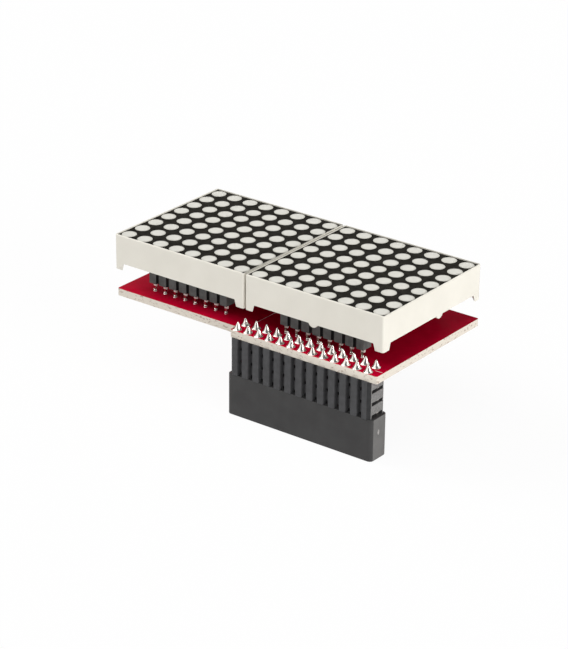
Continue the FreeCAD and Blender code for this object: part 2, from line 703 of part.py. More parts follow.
def build():
    for side in SIDES:
        display_housing(side)
        display_face(side)
        display_dots(side)
        display_back(side)
        for row in ROWS:
            display_pins(side, row)
            socket_strip(side, row)
            strip_contacts(side, row)
    circuit_board()
    header_pins()
    for index in range(1, int(number("Sheet.spacer_count")) + 1):
        header_spacer(index)
    header_socket()
    header_solder()
    driver_chip()
    driver_leads()
    small_parts()
    doc.recompute()


def check_objects():
    """Stop if anything in the document failed, or a sub-part has no valid shape."""
    for item in doc.Objects:
        if "Invalid" in item.State or "Error" in item.State:
            raise RuntimeError("%s did not build" % item.Label)
    for body in doc.findObjects("PartDesign::Body"):
        if body.Shape.isNull() or not body.Shape.isValid() or not body.Shape.Solids:
            raise RuntimeError("%s has no valid solid" % body.Label)


def export_parts():
    os.makedirs("parts", exist_ok=True)
    for body in doc.findObjects("PartDesign::Body"):
        body.Shape.exportStep("parts/%s.step" % body.Label)


build()
check_objects()
export_parts()
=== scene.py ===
import math
import random

import bmesh
import bpy
from mathutils import Matrix, Vector


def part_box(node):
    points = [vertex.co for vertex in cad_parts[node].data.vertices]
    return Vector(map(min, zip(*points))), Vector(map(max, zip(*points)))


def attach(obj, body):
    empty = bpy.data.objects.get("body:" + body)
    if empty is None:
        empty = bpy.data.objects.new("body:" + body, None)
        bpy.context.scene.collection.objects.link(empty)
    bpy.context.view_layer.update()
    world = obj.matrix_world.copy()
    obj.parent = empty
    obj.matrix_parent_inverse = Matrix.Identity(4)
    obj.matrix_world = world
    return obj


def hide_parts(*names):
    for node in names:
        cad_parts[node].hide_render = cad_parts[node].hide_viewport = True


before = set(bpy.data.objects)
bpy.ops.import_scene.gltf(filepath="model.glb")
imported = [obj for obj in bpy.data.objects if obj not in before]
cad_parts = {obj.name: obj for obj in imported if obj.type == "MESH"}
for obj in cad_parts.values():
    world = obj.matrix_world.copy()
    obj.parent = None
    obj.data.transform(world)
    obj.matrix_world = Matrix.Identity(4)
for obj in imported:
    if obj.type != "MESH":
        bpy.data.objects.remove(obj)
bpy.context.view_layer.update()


# Sizes and places, in millimetres and in the same frame as the solids

MM = 0.001
X, Y, Z = 0, 1, 2


def corners(node_name):
    """Lowest and highest corner of a solid node, to a thousandth of a millimetre."""
    return [[round(value / MM, 3) for value in corner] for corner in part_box(node_name)]


def centre(node_name, axis):
    """Middle of a solid node along an axis."""
    low, high = corners(node_name)
    return (low[axis] + high[axis]) / 2


SIDES, ROWS = ("left", "right"), ("front", "rear")
PITCH = 2.54

# Displays, their pins and their socket strips
DISPLAY_X = {side: centre(side + "_display_housing", X) for side in SIDES}
DISPLAY_Y = centre("left_display_housing", Y)
BETWEEN_X = sum(DISPLAY_X.values()) / 2
FACE_TOP = corners("left_display_face")[1][Z]
DOT_PITCH = 4.0
PIN_X = [(i - 3.5) * PITCH for i in range(8)]
ROW_Y = {row: centre("left_%s_display_pins" % row, Y) for row in ROWS}
CONTACT_Y = {row: centre("left_%s_strip_contacts" % row, Y) for row in ROWS}
STRIP_BOTTOM = corners("left_front_socket_strip")[0][Z]

# Circuit board and header. The solder cones stand a little to the left of their pins.
BOARD_BOTTOM, BOARD_TOP = (corner[Z] for corner in corners("circuit_board"))
HEADER_X = [(i - 6) * PITCH for i in range(13)]
HEADER_Y = [-PITCH / 2, PITCH / 2]
SOLDER_SHIFT = -0.22
BLOCK_END = corners("header_socket")[1][X]
SPACER_END, SPACER_SIDE = corners("header_spacer_1")[1][:2]
SPACER_CORNER, RAIL_WIDTH, CHANNEL_HEIGHT = 0.6, 0.84, 0.7

# How far inside the end of a form the middle of a face may lie and still belong to it
END_SLACK = 0.03

# Grooves of a spacer: half their width at the mouth and at the floor, and their depth
GROOVE_X = [x + PITCH / 2 for x in HEADER_X[:-1]]
GROOVE_MOUTH, GROOVE_FLOOR, GROOVE_DEPTH = 0.6, 0.34, 0.9

# Driver circuit on the board's underside
CHIP_X = centre("driver_chip", X)
LEAD_PITCH = 1.27
LEAD_X = [CHIP_X + (i - 5.5) * LEAD_PITCH for i in range(12)]

dice = random.Random(7)


# Materials

def principled(mat):
    return mat.node_tree.nodes["Principled BSDF"]


def new_material(name, color, rough, metallic=0.0, specular=0.5):
    """Principled material with its constant values on its own sockets."""
    mat = bpy.data.materials.new(name)
    mat.use_nodes = True
    shader = principled(mat)
    shader.inputs["Base Color"].default_value = (*color, 1)
    shader.inputs["Roughness"].default_value = rough
    shader.inputs["Metallic"].default_value = metallic
    shader.inputs["Specular IOR Level"].default_value = specular
    mat.diffuse_color = (*color, 1)
    return mat


def node(mat, kind, **values):
    """New shader node, with values for its sockets or its own settings."""
    made = mat.node_tree.nodes.new(kind)
    for key, value in values.items():
        if key in made.inputs:
            made.inputs[key].default_value = value
        else:
            setattr(made, key, value)
    return made


def link(mat, start, end):
    mat.node_tree.links.new(start, end)


def noise(mat, scale, detail=3.0, stretch=(1, 1, 1)):
    """Noise over the object's own coordinates, with its scale per metre."""
    place = node(mat, "ShaderNodeTexCoord")
    turn = node(mat, "ShaderNodeMapping", Scale=stretch)
    tex = node(mat, "ShaderNodeTexNoise", Scale=scale, Detail=detail)
    link(mat, place.outputs["Object"], turn.inputs["Vector"])
    link(mat, turn.outputs["Vector"], tex.inputs["Vector"])
    return tex.outputs["Fac"]


def texture(mat, axis):
    """One of the two texture coordinates that a turned form carries."""
    place = node(mat, "ShaderNodeTexCoord")
    split = node(mat, "ShaderNodeSeparateXYZ")
    link(mat, place.outputs["UV"], split.inputs["Vector"])
    return split.outputs[axis]


def ramp(mat, factor, low, high, start, end):
    """Colour ramp of a factor between two colours."""
    made = node(mat, "ShaderNodeValToRGB")
    first, last = made.color_ramp.elements
    first.position, last.position = start, end
    first.color, last.color = (*low, 1), (*high, 1)
    link(mat, factor, made.inputs["Fac"])
    return made.outputs["Color"]


def span(mat, factor, low, high):
    """The factor, spread from 0..1 to low..high."""
    made = node(mat, "ShaderNodeMapRange")
    made.inputs["To Min"].default_value = low
    made.inputs["To Max"].default_value = high
    link(mat, factor, made.inputs["Value"])
    return made.outputs["Result"]


def shade(mat, low, high, scale, start=0.35, end=0.65, detail=4.0, stretch=(1, 1, 1)):
    """Let the base colour wander between two colours."""
    colour = ramp(mat, noise(mat, scale, detail, stretch), low, high, start, end)
    link(mat, colour, principled(mat).inputs["Base Color"])


def polish(mat, low, high, scale):
    """Let the roughness wander between two values."""
    link(mat, span(mat, noise(mat, scale), low, high), principled(mat).inputs["Roughness"])


def grain(mat, scale, depth, strength=0.4, detail=2.0, stretch=(1, 1, 1)):
    """Fine relief, with its depth in millimetres."""
    bump = node(mat, "ShaderNodeBump", Strength=strength, Distance=depth * MM)
    link(mat, noise(mat, scale, detail, stretch), bump.inputs["Height"])
    link(mat, bump.outputs["Normal"], principled(mat).inputs["Normal"])


def plastic(name, low, high, rough, mottle, fine, depth, specular=0.5):
    """Moulded plastic: two close tones, uneven gloss and fine grain."""
    mat = new_material(name, high, rough, specular=specular)
    shade(mat, low, high, mottle)
    polish(mat, rough - 0.06, rough + 0.06, mottle * 1.7)
    grain(mat, fine, depth)
    return mat


def metal_surface(mat, rough, scale, depth):
    """Uneven gloss and faint relief of a metal."""
    polish(mat, rough - 0.07, rough + 0.1, scale * 1.4)
    grain(mat, scale * 2, depth, strength=0.5)


def metal(name, low, high, rough, metallic=1.0):
    """Plated metal of two close tones."""
    scale, depth = 1800, 0.01
    mat = new_material(name, high, rough, metallic=metallic)
    shade(mat, low, high, scale)
    metal_surface(mat, rough, scale, depth)
    return mat


def dot_material():
    """Milky resin, a little darker towards each dot's rim."""
    mat = new_material("dot_resin", (0.70, 0.675, 0.63), rough=0.42, specular=0.35)
    middle, rim = (0.705, 0.69, 0.63), (0.565, 0.55, 0.49)
    colour = ramp(mat, texture(mat, "X"), middle, rim, start=0.66, end=0.99)
    thin, full = (0.94, 0.94, 0.94), (1.0, 1.0, 1.0)
    cloud = ramp(mat, noise(mat, scale=900), thin, full, start=0.35, end=0.65)
    mix = node(mat, "ShaderNodeMix", data_type="RGBA", blend_type="MULTIPLY")
    # Sockets 0, 6 and 7 of a colour mix are its factor and its two colours
    mix.inputs[0].default_value = 1.0
    link(mat, colour, mix.inputs[6])
    link(mat, cloud, mix.inputs[7])
    link(mat, mix.outputs[2], principled(mat).inputs["Base Color"])
    polish(mat, 0.3, 0.45, scale=1500)
    return mat


def solder_material():
    """Bright tin, near-black in the hollows between its ridges: painted shade and painted reflection.
    """
    rough = 0.22
    mat = new_material("solder", (0.86, 0.84, 0.81), rough, metallic=1.0)
    metal_surface(mat, rough, scale=1300, depth=0.02)
    total = node(mat, "ShaderNodeMath", operation="ADD")
    link(mat, texture(mat, "Y"), total.inputs[0])
    link(mat, span(mat, noise(mat, scale=1100, detail=2), -0.55, 0.55), total.inputs[1])
    # Painted shade and reflection: near-black in the hollows, bright on the ridges
    hollow_painted_shade, ridge = (0.13, 0.127, 0.118), (0.90, 0.86, 0.80)
    colour = ramp(mat, total.outputs[0], hollow_painted_shade, ridge, start=0.30, end=0.50)
    link(mat, colour, principled(mat).inputs["Base Color"])
    return mat


def mask_material():
    """Red solder mask on the board's flat faces."""
    mat = new_material("board_mask", (0.46, 0.001, 0.022), rough=0.3, specular=0.004)
    shade(mat, (0.43, 0.0005, 0.020), (0.49, 0.001, 0.025), scale=420)
    polish(mat, 0.24, 0.36, scale=900)
    grain(mat, scale=5200, depth=0.006, strength=0.3)
    return mat


def trace_material():
    """The same mask where it covers copper."""
    mat = new_material("board_mask_over_copper", (0.47, 0.006, 0.02), rough=0.3, specular=0.2)
    shade(mat, (0.43, 0.005, 0.018), (0.52, 0.008, 0.025), scale=900)
    grain(mat, scale=5200, depth=0.006)
    return mat


def laminate_material():
    """Bare laminate of a cut edge, pale with dark specks."""
    layers = (1, 1, 2)
    mat = new_material("board_laminate", (0.70, 0.64, 0.55), rough=0.65, specular=0.3)
    speck, pale = (0.42, 0.33, 0.27), (0.72, 0.66, 0.575)
    shade(mat, speck, pale, scale=1500, start=0.31, end=0.42, stretch=layers)
    polish(mat, 0.55, 0.75, scale=2500)
    grain(mat, scale=2600, depth=0.02, strength=0.5, detail=3.0, stretch=layers)
    return mat


MATS = {
    "housing": plastic(
        "housing_plastic", (0.765, 0.735, 0.655), (0.80, 0.77, 0.69),
        rough=0.46, mottle=160, fine=2600, depth=0.01, specular=0.3,
    ),
    # Darker grey plastic for the rim tops where the displays meet: painted shade
    "housing_painted_shade": plastic(
        "housing_painted_shade", (0.36, 0.345, 0.31), (0.46, 0.44, 0.39),
        rough=0.5, mottle=900, fine=2600, depth=0.01, specular=0.1,
    ),
    "face": plastic(
        "face_black", (0.014, 0.013, 0.011), (0.026, 0.024, 0.020),
        rough=0.5, mottle=900, fine=9000, depth=0.006, specular=0.004,
    ),
    "dots": dot_material(),
    "resin": plastic(
        "potting_resin", (0.52, 0.46, 0.34), (0.62, 0.56, 0.42),
        rough=0.3, mottle=220, fine=700, depth=0.03,
    ),
    "strip": plastic(
        "strip_plastic", (0.092, 0.099, 0.096), (0.128, 0.138, 0.134),
        rough=0.5, mottle=700, fine=5200, depth=0.012, specular=0.2,
    ),
    # Near-black plastic for the strips' groove walls: painted shade
    "strip_groove_painted_shade": plastic(
        "strip_groove_painted_shade", (0.014, 0.015, 0.015), (0.022, 0.023, 0.023),
        rough=0.6, mottle=700, fine=5200, depth=0.012, specular=0.1,
    ),
    "spacer": plastic(
        "spacer_plastic", (0.056, 0.056, 0.058), (0.070, 0.070, 0.073),
        rough=0.5, mottle=900, fine=5200, depth=0.014, specular=0.2,
    ),
    # Near-black plastic for the spacers' bevelled corners: painted shade
    "spacer_bevel": plastic(
        "spacer_bevel", (0.020, 0.020, 0.021), (0.03, 0.03, 0.031),
        rough=0.6, mottle=900, fine=5200, depth=0.014, specular=0.2,
    ),
    # Paler plastic for the spacers' end faces: painted light
    "spacer_end": plastic(
        "spacer_cut_end", (0.15, 0.146, 0.143), (0.23, 0.225, 0.22),
        rough=0.6, mottle=2500, fine=6000, depth=0.02, specular=0.2,
    ),
    "socket": plastic(
        "socket_plastic", (0.043, 0.042, 0.042), (0.051, 0.050, 0.050),
        rough=0.47, mottle=300, fine=6000, depth=0.008, specular=0.2,
    ),
    # Paler plastic for the socket block's end faces: painted light
    "socket_end": plastic(
        "socket_end", (0.115, 0.112, 0.109), (0.14, 0.137, 0.133),
        rough=0.5, mottle=500, fine=6000, depth=0.012, specular=0.2,
    ),
    "chip": plastic(
        "chip_plastic", (0.020, 0.020, 0.021), (0.032, 0.032, 0.033),
        rough=0.55, mottle=500, fine=7000, depth=0.01,
    ),
    "ceramic": plastic(
        "capacitor_ceramic", (0.40, 0.29, 0.18), (0.50, 0.38, 0.25),
        rough=0.5, mottle=1500, fine=9000, depth=0.006,
    ),
    "film": plastic(
        "resistor_ceramic", (0.018, 0.018, 0.022), (0.035, 0.035, 0.04),
        rough=0.25, mottle=1200, fine=4000, depth=0.006,
    ),
    "silk": plastic(
        "board_print", (0.66, 0.60, 0.58), (0.80, 0.76, 0.74),
        rough=0.6, mottle=2500, fine=6000, depth=0.01,
    ),
    "gate": plastic(
        "gate_mark", (0.20, 0.19, 0.18), (0.42, 0.40, 0.385),
        rough=0.7, mottle=5000, fine=9000, depth=0.02,
    ),
    "solder": solder_material(),
    "tin": metal("tinned_pin", (0.66, 0.65, 0.62), (0.82, 0.81, 0.78), rough=0.28),
    # Pale plating, but near-white and hardly metallic so the contact heads look bright in the shade
    # under the strips: painted light. The legs use the darker contact_leg metal
    "contact": metal(
        "plated_contact", (0.86, 0.79, 0.73), (0.96, 0.91, 0.86), rough=0.4, metallic=0.1
    ),
    "contact_leg": metal("contact_leg", (0.60, 0.53, 0.46), (0.74, 0.68, 0.61), rough=0.2),
    "mask": mask_material(),
    "laminate": laminate_material(),
    "trace": trace_material(),
}


# Mesh building

class Shape:
    """Collects forms in millimetres and makes one mesh of them."""

    def __init__(self):
        self.bm = bmesh.new()
        self.texture = self.bm.loops.layers.uv.new("UVMap")

    def prism(self, outline, low, high, mat=0, top=None):
        """Upright prism over an outline of x, y points, or a frustum up to a second outline."""
        lower = [self.bm.verts.new((x, y, low)) for x, y in outline]
        upper = [self.bm.verts.new((x, y, high)) for x, y in top or outline]
        self._skin(lower, upper, mat)

    def box(self, low, high, mat=0):
        (x0, y0, z0), (x1, y1, z1) = low, high
        self.prism([(x0, y0), (x1, y0), (x1, y1), (x0, y1)], z0, z1, mat)

    def section_x(self, outline, x0, x1):
        """Prism along X over an outline of y, z points."""
        near = [self.bm.verts.new((x0, y, z)) for y, z in outline]
        far = [self.bm.verts.new((x1, y, z)) for y, z in outline]
        self._skin(far, near, 0)

    def section_y(self, outline, y0, y1, mat=0):
        """Prism along Y over an outline of x, z points."""
        near = [self.bm.verts.new((x, y0, z)) for x, z in outline]
        far = [self.bm.verts.new((x, y1, z)) for x, z in outline]
        self._skin(far, near, mat)

    def _skin(self, first, last, mat):
        """Faces between two rings of points and over both of them."""
        faces = [self.bm.faces.new(first[::-1]), self.bm.faces.new(last)]
        for i in range(len(first)):
            j = (i + 1) % len(first)
            faces.append(self.bm.faces.new((first[i], first[j], last[j], last[i])))
        for face in faces:
            face.material_index = mat

    def lathe(self, profile, place, sides=24, ripple=0.0, lean=(0, 0), phase=0.0, flip=1):
        """Turned form of radius, height points. The first and last may lie on the axis.

        Ripple raises four ridges, which grow with the height. The texture coordinates hold
        the radius as a share of the widest one, and how near a point is to a ridge.
        """
        def ridge(i):
            return math.cos(4 * 2 * math.pi * i / sides + phase)

        rings = []
        tallest = max(abs(height) for _, height in profile)
        for radius, height in profile:
            share = abs(height) / tallest
            x, y = (place[axis] + lean[axis] * share for axis in (X, Y))
            z = place[Z] + flip * height
            if radius == 0:
                rings.append([self.bm.verts.new((x, y, z))])
                continue
            ring = []
            for i in range(sides):
                angle = 2 * math.pi * (i / sides + 0.25)
                r = radius * (1 + ripple * share * ridge(i))
                ring.append(self.bm.verts.new((x + r * math.cos(angle), y + r * math.sin(angle), z)))
            rings.append(ring)
        widest = max(radius for radius, _ in profile)
        shares = [radius / widest for radius, _ in profile]
        bands = zip(rings, rings[1:], shares, shares[1:])
        for low, high, low_share, high_share in bands:
            for i in range(sides):
                j = (i + 1) % sides
                here, ahead = 0.5 + 0.5 * ridge(i), 0.5 + 0.5 * ridge(i + 1)
                around = [
                    (low[i % len(low)], low_share, here), (low[j % len(low)], low_share, ahead),
                    (high[j % len(high)], high_share, ahead), (high[i % len(high)], high_share, here),
                ]
                if len(low) == 1:
                    around.pop(0)
                elif len(high) == 1:
                    around.pop()
                face = self.bm.faces.new([vert for vert, _, _ in around])
                for corner, (_, u, v) in zip(face.loops, around):
                    corner[self.texture].uv = (u, v)
        if len(rings[0]) > 1:
            self.bm.faces.new(rings[0][::-1])
        if len(rings[-1]) > 1:
            self.bm.faces.new(rings[-1])

    def node_copy(self, name):
        """The mesh of a solid node."""
        self.bm.from_mesh(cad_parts[name].data)
        self.bm.transform(Matrix.Scale(1 / MM, 4))
        bmesh.ops.remove_doubles(self.bm, verts=self.bm.verts, dist=2e-4)

    def soften(self, width, segments=2):
        """Bevel the sharp edges of a form that was copied from a solid node."""
        limit = math.radians(35)
        sharp = [
            edge for edge in self.bm.edges
            if len(edge.link_faces) == 2 and abs(edge.calc_face_angle(0)) > limit
        ]
        bmesh.ops.bevel(
            self.bm, geom=sharp, offset=width, segments=segments, profile=0.5,
            affect="EDGES", clamp_overlap=True,
        )

    def piece(self, name, mats, slot, replaces=(), smooth=40, weighted=True):
        """Make the mesh an object that rides on the body and replaces its solid nodes."""
        bmesh.ops.recalc_face_normals(self.bm, faces=self.bm.faces)
        self.bm.transform(Matrix.Scale(MM, 4))
        mesh = bpy.data.meshes.new(name)
        self.bm.to_mesh(mesh)
        self.bm.free()
        for mat in mats:
            mesh.materials.append(MATS[mat])
        mesh.shade_smooth()
        mesh.set_sharp_from_angle(angle=math.radians(smooth))
        obj = bpy.data.objects.new(name, mesh)
        bpy.context.scene.collection.objects.link(obj)
        if weighted:
            normals = obj.modifiers.new("normals", "WEIGHTED_NORMAL")
            normals.keep_sharp = True
        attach(obj, "root")
        if replaces:
            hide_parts(*replaces)


def refined(node_name, name, mat, slot, width, segments):
    """A solid node as it is, with its edges softened."""
    shape = Shape()
    shape.node_copy(node_name)
    shape.soften(width, segments)
    shape.piece(name, [mat], slot, [node_name])


# Displays

def housing(side):
    """Housing. The top of its rim beside the other display is darker grey plastic: painted shade where
    the two displays meet.
    """
    node_name = side + "_display_housing"
    rim_top, reach = FACE_TOP + 0.14, 0.66
    shape = Shape()
    shape.node_copy(node_name)
    shape.soften(0.07)
    for face in shape.bm.faces:
        middle = face.calc_center_median()
        # Painted shade: rim tops along the gap between the displays take the darker grey second
        # material
        painted_shade = middle.z > rim_top and abs(middle.x - BETWEEN_X) < reach
        face.material_index = 1 if painted_shade else 0
    shape.piece(side + "_housing", ["housing", "housing_painted_shade"], "housing_plastic", [node_name])


def resin_fill(side):
    """Cast resin: it creeps up the walls, and settles round the pins."""
    node_name = side + "_display_resin"
    (left, front, low), (right, rear, high) = corners(node_name)
    half = (right - left) / 2
    steps, creep, creep_reach = 44, 0.12, 0.9
    lump_count, lump_height, floor_lift = 14, 0.012, 0.25
    wave = random.Random(3)
    lumps = [
        (wave.uniform(-half, half), wave.uniform(-half, half), wave.uniform(2, 6))
        for _ in range(lump_count)
    ]

    def surface(u, v):
        """Height of the resin's open side, at u, v from the display's middle."""
        wall = half - max(abs(u), abs(v))
        sink = creep * (1 - math.exp(-wall / creep_reach))
        for a, b, size in lumps:
            sink += lump_height * math.exp(-((u - a) ** 2 + (v - b) ** 2) / size ** 2)
        return low + sink

    shape = Shape()
    spots = [(2 * i / steps - 1) * half for i in range(steps + 1)]
    grid = [
        [shape.bm.verts.new((DISPLAY_X[side] + u, DISPLAY_Y + v, surface(u, v))) for v in spots]
        for u in spots
    ]
    for i in range(steps):
        for j in range(steps):
            shape.bm.faces.new((grid[i][j], grid[i][j + 1], grid[i + 1][j + 1], grid[i + 1][j]))
    shape.box((left, front, low + floor_lift), (right, rear, high))
    collar = [(0.36, 0.0), (0.4, 0.04), (0.5, 0.1), (0.62, 0.14)]
    for x in PIN_X:
        for y in ROW_Y.values():
            shape.lathe(collar, (DISPLAY_X[side] + x, y, low), sides=16)
    shape.piece(side + "_resin", ["resin"], "potting_resin", [node_name], weighted=False)


def dots(side):
    """Eight rows of eight round, slightly crowned lenses."""
    profile = [(1.5, 0.0), (1.495, 0.02), (1.46, 0.042), (1.3, 0.05), (0.8, 0.056), (0.0, 0.06)]
    steps = [(i - 3.5) * DOT_PITCH for i in range(8)]
    shape = Shape()
    for y in steps:
        for x in steps:
            shape.lathe(profile, (DISPLAY_X[side] + x, DISPLAY_Y + y, FACE_TOP), sides=40)
    shape.piece(side + "_dots", ["dots"], "dot_resin", [side + "_display_dots"], weighted=False)


def display(side):
    housing(side)
    refined(side + "_display_face", side + "_face", "face", "face_black", 0.02, 1)
    refined(side + "_led_board", side + "_inner_board", "laminate", "led_laminate", 0.05, 1)
    resin_fill(side)
    dots(side)


# Socket strips

def socket_strip(key, row_y):
    """Strip body. The walls of its grooves lie deeper than its two long sides, and take a near-black
    plastic as painted shade.
    """
    node_name = key + "_socket_strip"
    (first, _, _), (last, _, _) = corners(node_name)
    end_wall, groove_floor, groove_mouth = 0.2, 0.7, 1.19
    shape = Shape()
    shape.node_copy(node_name)
    shape.soften(0.05)
    for face in shape.bm.faces:
        middle, normal = face.calc_center_median(), face.normal
        upright = abs(normal.z) < 0.5
        between = first + end_wall < middle.x < last - end_wall
        sunk = groove_floor < abs(middle.y - row_y) < groove_mouth
        # Painted shade: groove walls take the near-black second material
        face.material_index = 1 if upright and between and sunk else 0
    shape.piece(key + "_strip", ["strip", "strip_groove_painted_shade"], "strip_plastic", [node_name])


def contact_leg(x, tip, top):
    """Outline of a leg that narrows to its tip, in x, z points."""
    half, half_tip, taper = 0.25, 0.12, 0.35
    return [
        (x - half_tip, tip), (x + half_tip, tip), (x + half, tip + taper), (x + half, top),
        (x - half, top), (x - half, tip + taper),
    ]


def contact_head(x, bottom, top):
    """Outline of a head with a shoulder on its right, in x, z points."""
    half, shoulder, neck, half_top = 0.25, 0.53, 0.4, 0.34
    return [
        (x - half, bottom), (x + shoulder - 0.05, bottom), (x + shoulder, bottom + 0.06),
        (x + shoulder, STRIP_BOTTOM + 0.1), (x + neck, STRIP_BOTTOM + 0.2), (x + half_top, top),
        (x - 0.1, top), (x - half, top - 0.4),
    ]


def strip_contacts(side, row):
    """Contacts, each a head on a leg, and the solder on both sides of the board."""
    key = "%s_%s" % (side, row)
    node_name = key + "_strip_contacts"
    (_, front, tip), (_, rear, top) = corners(node_name)
    head_bottom, y = STRIP_BOTTOM - 0.7, CONTACT_Y[row]
    below = [(0.84, 0.0), (0.8, 0.05), (0.6, 0.22), (0.42, 0.45), (0.3, 0.68), (0.2, 0.82), (0, 0.84)]
    contacts, joints = Shape(), Shape()
    for x in (DISPLAY_X[side] + pin for pin in PIN_X):
        contacts.section_y(contact_leg(x, tip, head_bottom), front, rear, 1)
        contacts.section_y(contact_head(x, head_bottom, top), front, rear)
        size = dice.uniform(0.92, 1.06)
        fillet = [(0.34 * size, 0.0), (0.31 * size, 0.05), (0.3, 0.12), (0.3, 0.4), (0.2, 0.46)]
        joints.lathe(fillet, (x, y, BOARD_TOP), sides=20)
        cone = [(radius * size, depth) for radius, depth in below]
        place = (x, y, BOARD_BOTTOM)
        joints.lathe(cone, place, sides=20, flip=-1, ripple=0.05, phase=dice.random())
    contacts.piece(key + "_contacts", ["contact", "contact_leg"], "plated_contact", [node_name])
    joints.piece(key + "_leg_solder", ["solder"], "solder", smooth=60, weighted=False)


def strips():
    for side in SIDES:
        for row in ROWS:
            key = "%s_%s" % (side, row)
            socket_strip(key, ROW_Y[row])
            refined(key + "_display_pins", key + "_pins", "tin", "tinned_pin", 0.07, 2)
            strip_contacts(side, row)


# Circuit board

def circuit_board():
    """Board with solder mask on its flat faces and bare laminate at its edges."""
    shape = Shape()
    shape.node_copy("circuit_board")
    for face in shape.bm.faces:
        face.normal_update()
        face.material_index = 0 if abs(face.normal.z) > 0.5 else 1
    shape.piece("board", ["mask", "laminate"], "board_mask", ["circuit_board"], smooth=30)


def board_pads():
    """Tinned rings round the holes, on both faces of the board."""
    rise = 0.025
    wide = [(0.9, 0.0), (0.87, rise), (0.0, rise)]
    narrow = [(0.38, 0.0), (0.36, rise), (0.0, rise)]
    shape = Shape()
    for x in HEADER_X:
        for y in HEADER_Y:
            shape.lathe(wide, (x + SOLDER_SHIFT, y, BOARD_TOP))
    for display_x in DISPLAY_X.values():
        for y in CONTACT_Y.values():
            for x in (display_x + pin for pin in PIN_X):
                shape.lathe(narrow, (x, y, BOARD_TOP))
                shape.lathe(wide, (x, y, BOARD_BOTTOM), flip=-1)
    shape.piece("board_pads", ["tin"], "solder", weighted=False)


def line(shape, points, width, low, high):
    """Flat strip of the given width along a run of points, a little longer at each point."""
    beyond = 0.2 * width
    for (x0, y0), (x1, y1) in zip(points, points[1:]):
        long = math.hypot(x1 - x0, y1 - y0)
        ux, uy = (x1 - x0) / long, (y1 - y0) / long
        side_x, side_y = -uy * width / 2, ux * width / 2
        end_x, end_y = ux * beyond, uy * beyond
        outline = [
            (x0 - end_x - side_x, y0 - end_y - side_y), (x1 + end_x - side_x, y1 + end_y - side_y),
            (x1 + end_x + side_x, y1 + end_y + side_y), (x0 - end_x + side_x, y0 - end_y + side_y),
        ]
        shape.prism(outline, low, high)


def board_print():
    """Thin printed lines that mark where the displays stand."""
    width, thickness = 0.1, 0.015
    between, ahead = BETWEEN_X - 0.05, -0.09
    runs = [
        [(between, 4.0), (between, 9.3)],
        [(between, 21.5), (between, 26.8)],
        [(15.75, ahead), (17.35, ahead)],
    ]
    shape = Shape()
    for run in runs:
        line(shape, run, width, BOARD_TOP, BOARD_TOP + thickness)
    shape.piece("board_outline_print", ["silk"], "board_mask", weighted=False)


def chip_traces(shape, row, width, low, high):
    """Runs from one side of the chip, each in its own lane, to the strips of both displays."""
    first_lane, lane_step, bend, shortest = 5.6, 0.62, 0.6, 1.4
    sign = -1 if row == "front" else 1
    (_, front, _), (_, rear, _) = corners("driver_leads")
    start = front if row == "front" else rear
    half = len(LEAD_X) // 2
    for index, lead_x in enumerate(LEAD_X):
        if index < half:
            number = index
            pin_x = DISPLAY_X["left"] + PIN_X[-1 - number]
        else:
            number = len(LEAD_X) - 1 - index
            pin_x = DISPLAY_X["right"] + PIN_X[number]
        lane = DISPLAY_Y + sign * (first_lane + lane_step * (half - 1 - number))
        turn = bend if pin_x > lead_x else -bend
        points = [
            (lead_x, start), (lead_x, lane - sign * bend), (lead_x + turn, lane),
            (pin_x - turn, lane), (pin_x, lane + sign * bend), (pin_x, CONTACT_Y[row]),
        ]
        if abs(pin_x - lead_x) > shortest:
            line(shape, points, width, low, high)


def board_traces():
    """Copper runs under the solder mask of the board's underside."""
    width, thickness = 0.3, 0.02
    low, high = BOARD_BOTTOM - thickness, BOARD_BOTTOM
    shape = Shape()
    for row in ROWS:
        chip_traces(shape, row, width, low, high)
    for i, x in enumerate(HEADER_X):
        if i % 3:
            line(shape, [(x, 1.9), (x, 2.6), (x - 0.5, 3.1)], width, low, high)
    shape.piece("board_traces", ["trace"], "board_mask", weighted=False)


# Header

def header_solder():
    """Hollow-sided cones with four soft ridges, each drawn up to the pin's tip."""
    profile = [
        (0.86, 0.0), (0.85, 0.02), (0.76, 0.12), (0.64, 0.33), (0.52, 0.58), (0.41, 0.83),
        (0.31, 1.08), (0.21, 1.3), (0.11, 1.48), (0.0, 1.57),
    ]
    shape = Shape()
    for y in HEADER_Y:
        for x in HEADER_X:
            wide, tall = dice.uniform(0.94, 1.03), dice.uniform(0.96, 1.05)
            cone = [(radius * wide, height * tall) for radius, height in profile]
            lean = (dice.uniform(-0.05, 0.15), dice.uniform(-0.06, 0.06))
            phase = dice.uniform(-0.6, 0.6)
            place = (x + SOLDER_SHIFT, y, BOARD_TOP)
            shape.lathe(cone, place, sides=32, ripple=0.12, lean=lean, phase=phase)
    shape.piece("header_joints", ["solder"], "solder", ["header_solder"], smooth=75, weighted=False)


def spacer_outline():
    """Plan of a spacer with bevelled corners and a groove between any two cells."""
    end, side, corner, floor = SPACER_END, -SPACER_SIDE, SPACER_CORNER, GROOVE_DEPTH - SPACER_SIDE
    outline = [(-end, side + corner), (-end + corner, side)]
    for x in GROOVE_X:
        outline += [(x - GROOVE_MOUTH, side), (x - GROOVE_FLOOR, floor)]
        outline += [(x + GROOVE_FLOOR, floor), (x + GROOVE_MOUTH, side)]
    outline += [(end - corner, side), (end, side + corner)]
    return outline + [(-x, -y) for x, y in outline]


